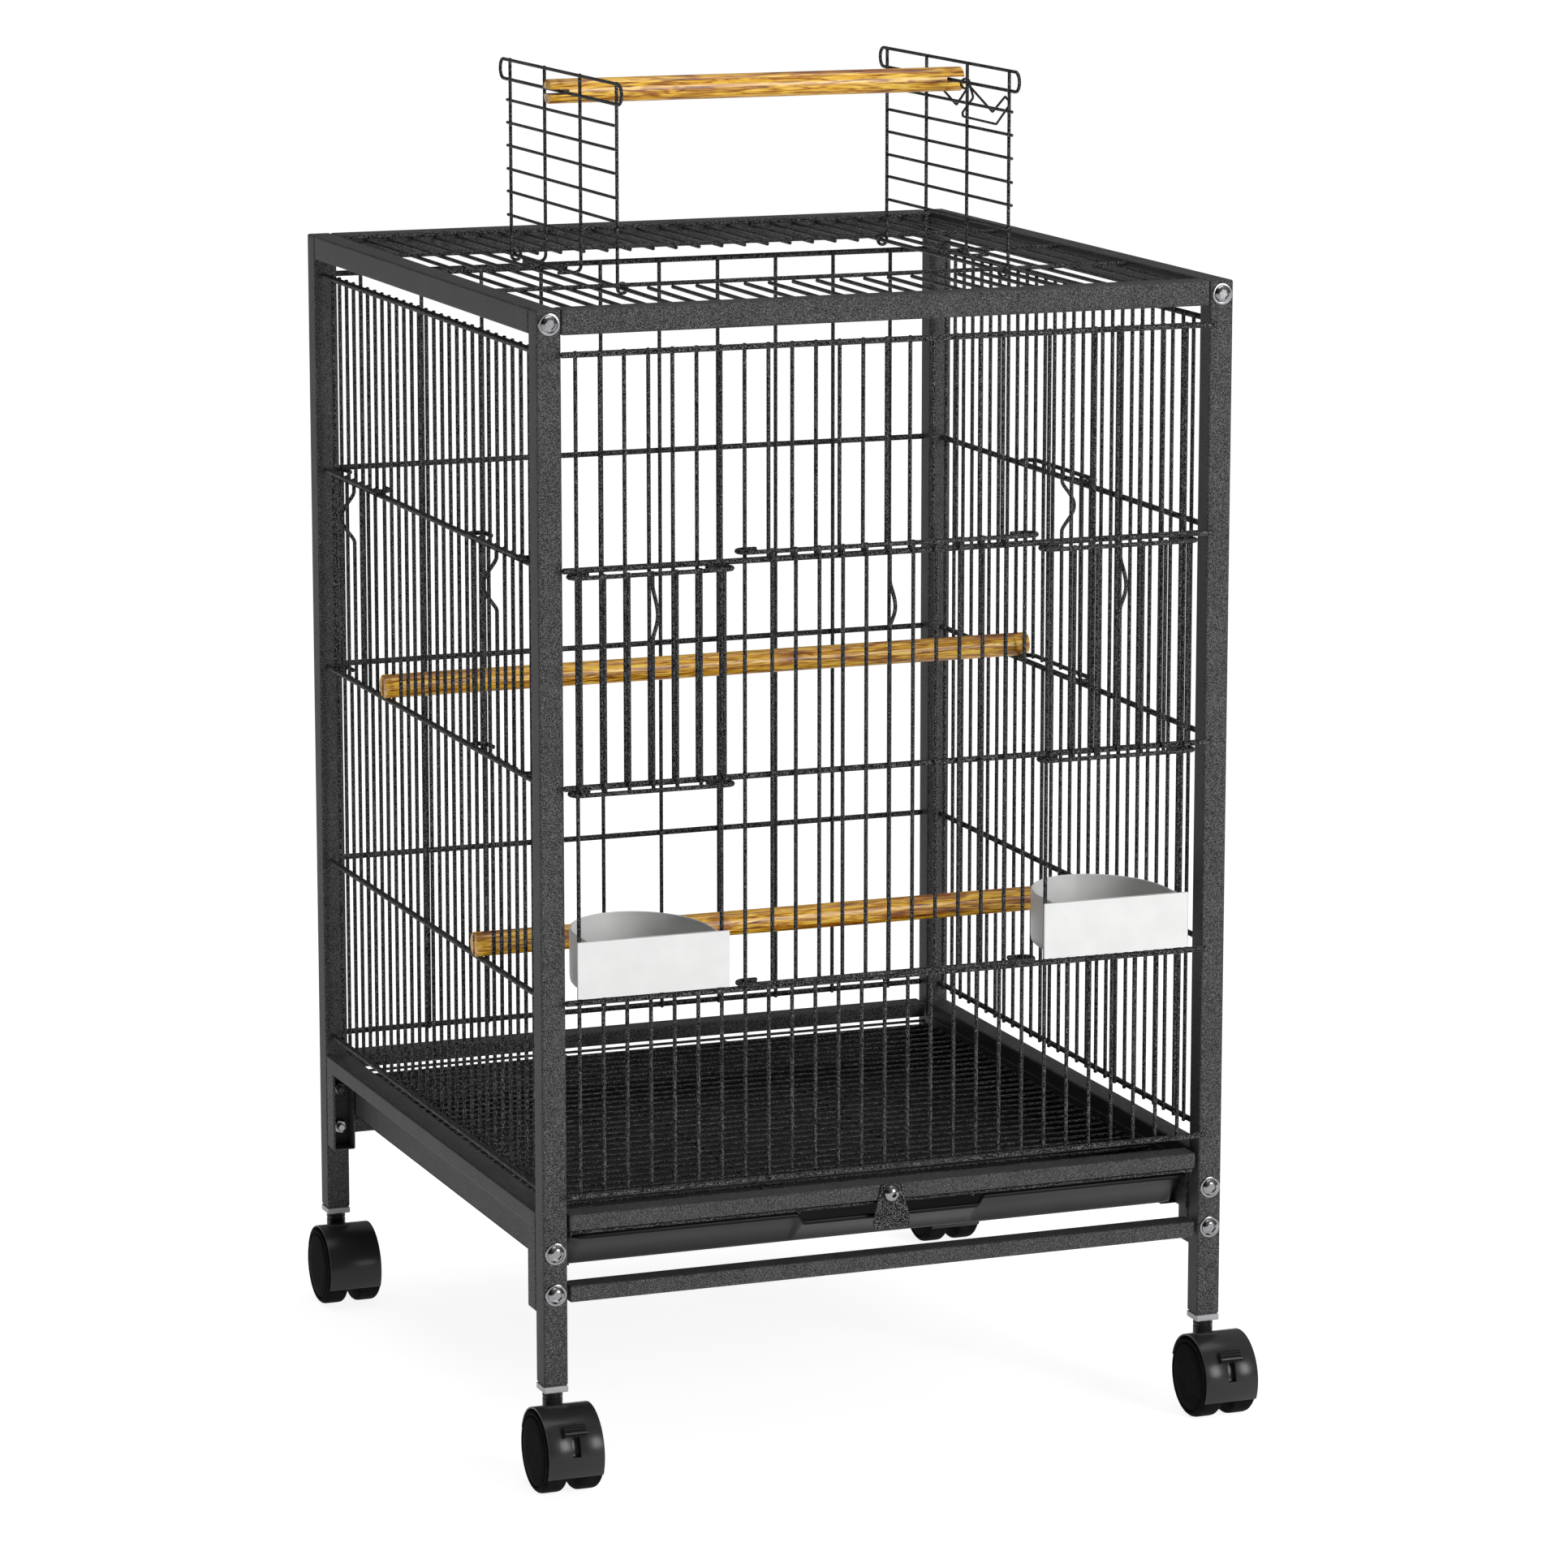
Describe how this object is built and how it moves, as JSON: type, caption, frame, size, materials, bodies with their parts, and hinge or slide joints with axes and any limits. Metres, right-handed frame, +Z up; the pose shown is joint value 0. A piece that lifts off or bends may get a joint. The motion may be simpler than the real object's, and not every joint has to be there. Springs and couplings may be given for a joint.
{
  "type": "bird cage on stand",
  "caption": "Wire bird cage on a square-tube stand with twin-wheel casters, sliding doors, folding play top, seed cups, wooden perches and a slide-out tray.",
  "frame": {"origin": "on the floor under the middle of the whole object's bounding box", "axes": "+X to the object's right as seen from the front, +Y to the back, +Z up; the front faces -Y"},
  "size_m": [0.462, 0.4879, 0.8185],
  "materials": {
    "hammered_steel": "dark charcoal hammered powder coat with a fine grey speckle",
    "wire": "near-black speckled powder coat",
    "zinc": "bright zinc plate",
    "white_plastic": "semi-gloss white",
    "wood": "lacquered tan hardwood dowel",
    "black_plastic": "satin black moulding",
    "tray_plastic": "satin black",
    "grey_plastic": "grey moulding"
  },
  "bodies": {
    "cage": {"front_left_post": "hammered_steel", "rear_left_post": "hammered_steel", "front_right_post": "hammered_steel", "rear_right_post": "hammered_steel", "front_top_rail": "hammered_steel", "rear_top_rail": "hammered_steel", "left_top_rail": "hammered_steel", "right_top_rail": "hammered_steel", "front_base_rail": "hammered_steel", "rear_base_rail": "hammered_steel", "front_stretcher": "hammered_steel", "rear_stretcher": "hammered_steel", "left_base_frame": "hammered_steel", "right_base_frame": "hammered_steel", "left_tray_runner": "hammered_steel", "right_tray_runner": "hammered_steel", "left_top_bolt": "zinc", "left_upper_bolt": "zinc", "left_lower_bolt": "zinc", "right_top_bolt": "zinc", "right_upper_bolt": "zinc", "right_lower_bolt": "zinc", "tab_screw": "zinc", "front_grille": "wire", "left_grille": "wire", "right_grille": "wire", "rear_grille": "wire", "top_grille": "wire", "front_left_plug": "grey_plastic", "rear_left_plug": "grey_plastic", "front_right_plug": "grey_plastic", "rear_right_plug": "grey_plastic", "upper_perch": "wood", "lower_perch": "wood"},
    "main_door": {"main_door": "wire"},
    "left_feeder_door": {"left_feeder_door": "wire"},
    "right_feeder_door": {"right_feeder_door": "wire"},
    "left_front_side_door": {"left_front_side_door": "wire"},
    "left_rear_side_door": {"left_rear_side_door": "wire"},
    "right_side_door": {"right_side_door": "wire"},
    "waste_tray": {"waste_tray": "tray_plastic"},
    "floor_grate": {"floor_grate": "wire"},
    "tray_tab": {"tray_tab": "wire"},
    "left_cup": {"left_cup": "white_plastic"},
    "right_cup": {"right_cup": "white_plastic"},
    "left_play_flap": {"left_play_flap": "wire"},
    "right_play_flap": {"right_play_flap": "wire"},
    "play_latch": {"play_latch": "wire"},
    "play_perch": {"play_perch": "wood"},
    "front_left_caster": {"front_left_caster_hood": "black_plastic"},
    "front_left_wheels": {"front_left_wheels": "black_plastic"},
    "rear_left_caster": {"rear_left_caster_hood": "black_plastic"},
    "rear_left_wheels": {"rear_left_wheels": "black_plastic"},
    "front_right_caster": {"front_right_caster_hood": "black_plastic"},
    "front_right_wheels": {"front_right_wheels": "black_plastic"},
    "rear_right_caster": {"rear_right_caster_hood": "black_plastic"},
    "rear_right_wheels": {"rear_right_wheels": "black_plastic"},
    "front_left_brake": {"front_left_brake": "black_plastic"},
    "front_right_brake": {"front_right_brake": "black_plastic"}
  },
  "joints": [
    {"name": "main_door_slide", "type": "slide", "parent": "cage", "child": "main_door", "axis": [0, 0, 1], "range_m": [0, 0.116]},
    {"name": "left_feeder_slide", "type": "slide", "parent": "cage", "child": "left_feeder_door", "axis": [0, 0, -1], "range_m": [0, 0.085]},
    {"name": "right_feeder_slide", "type": "slide", "parent": "cage", "child": "right_feeder_door", "axis": [0, 0, -1], "range_m": [0, 0.085]},
    {"name": "left_front_door_slide", "type": "slide", "parent": "cage", "child": "left_front_side_door", "axis": [0, 0, 1], "range_m": [0, 0.118]},
    {"name": "left_rear_door_slide", "type": "slide", "parent": "cage", "child": "left_rear_side_door", "axis": [0, 0, 1], "range_m": [0, 0.118]},
    {"name": "right_door_slide", "type": "slide", "parent": "cage", "child": "right_side_door", "axis": [0, 0, 1], "range_m": [0, 0.118]},
    {"name": "tray_slide", "type": "slide", "parent": "cage", "child": "waste_tray", "axis": [0, -1, 0], "range_m": [0, 0.378]},
    {"name": "grate_slide", "type": "slide", "parent": "cage", "child": "floor_grate", "axis": [0, -1, 0], "range_m": [0, 0.378]},
    {"name": "tab_turn", "type": "hinge", "parent": "cage", "child": "tray_tab", "pos_m": [0.0013, -0.207, 0.1576], "axis": [0, 1, 0], "continuous": true},
    {"name": "left_cup_slide", "type": "slide", "parent": "cage", "child": "left_cup", "axis": [0, -1, 0], "range_m": [0, 0.1]},
    {"name": "right_cup_slide", "type": "slide", "parent": "cage", "child": "right_cup", "axis": [0, -1, 0], "range_m": [0, 0.1]},
    {"name": "left_flap_fold", "type": "hinge", "parent": "cage", "child": "left_play_flap", "pos_m": [-0.1235, 0.01375, 0.6958], "axis": [0, 1, 0], "range_deg": [0, 89]},
    {"name": "right_flap_fold", "type": "hinge", "parent": "cage", "child": "right_play_flap", "pos_m": [0.1235, 0.01375, 0.6958], "axis": [0, 1, 0], "range_deg": [-89, 0]},
    {"name": "play_perch_lift", "type": "slide", "parent": "cage", "child": "play_perch", "axis": [0, 0, 1], "range_m": [0, 0.245]},
    {"name": "latch_swing", "type": "hinge", "parent": "right_play_flap", "child": "play_latch", "pos_m": [0.1265, -0.025, 0.8055], "axis": [0, -1, 0], "range_deg": [0, 120]},
    {"name": "front_left_swivel", "type": "hinge", "parent": "cage", "child": "front_left_caster", "pos_m": [-0.2125, -0.1995, 0.05], "axis": [0, 0, 1], "continuous": true},
    {"name": "front_left_roll", "type": "hinge", "parent": "front_left_caster", "child": "front_left_wheels", "pos_m": [-0.2125, -0.2175, 0.025], "axis": [1, 0, 0], "continuous": true},
    {"name": "front_left_brake_press", "type": "hinge", "parent": "front_left_caster", "child": "front_left_brake", "pos_m": [-0.2125, -0.2175, 0.025], "axis": [1, 0, 0], "range_deg": [0, 22]},
    {"name": "rear_left_swivel", "type": "hinge", "parent": "cage", "child": "rear_left_caster", "pos_m": [-0.2125, 0.2365, 0.05], "axis": [0, 0, 1], "continuous": true},
    {"name": "rear_left_roll", "type": "hinge", "parent": "rear_left_caster", "child": "rear_left_wheels", "pos_m": [-0.2125, 0.2185, 0.025], "axis": [1, 0, 0], "continuous": true},
    {"name": "front_right_swivel", "type": "hinge", "parent": "cage", "child": "front_right_caster", "pos_m": [0.2125, -0.1995, 0.05], "axis": [0, 0, 1], "continuous": true},
    {"name": "front_right_roll", "type": "hinge", "parent": "front_right_caster", "child": "front_right_wheels", "pos_m": [0.2125, -0.2175, 0.025], "axis": [1, 0, 0], "continuous": true},
    {"name": "front_right_brake_press", "type": "hinge", "parent": "front_right_caster", "child": "front_right_brake", "pos_m": [0.2125, -0.2175, 0.025], "axis": [1, 0, 0], "range_deg": [0, 22]},
    {"name": "rear_right_swivel", "type": "hinge", "parent": "cage", "child": "rear_right_caster", "pos_m": [0.2125, 0.2365, 0.05], "axis": [0, 0, 1], "continuous": true},
    {"name": "rear_right_roll", "type": "hinge", "parent": "rear_right_caster", "child": "rear_right_wheels", "pos_m": [0.2125, 0.2185, 0.025], "axis": [1, 0, 0], "continuous": true}
  ],
  "couplings": [
    {"joint": "right_flap_fold", "follows": "left_flap_fold", "ratio": -1},
    {"joint": "play_perch_lift", "follows": "left_flap_fold", "m_per_rad": 0.1545}
  ]
}
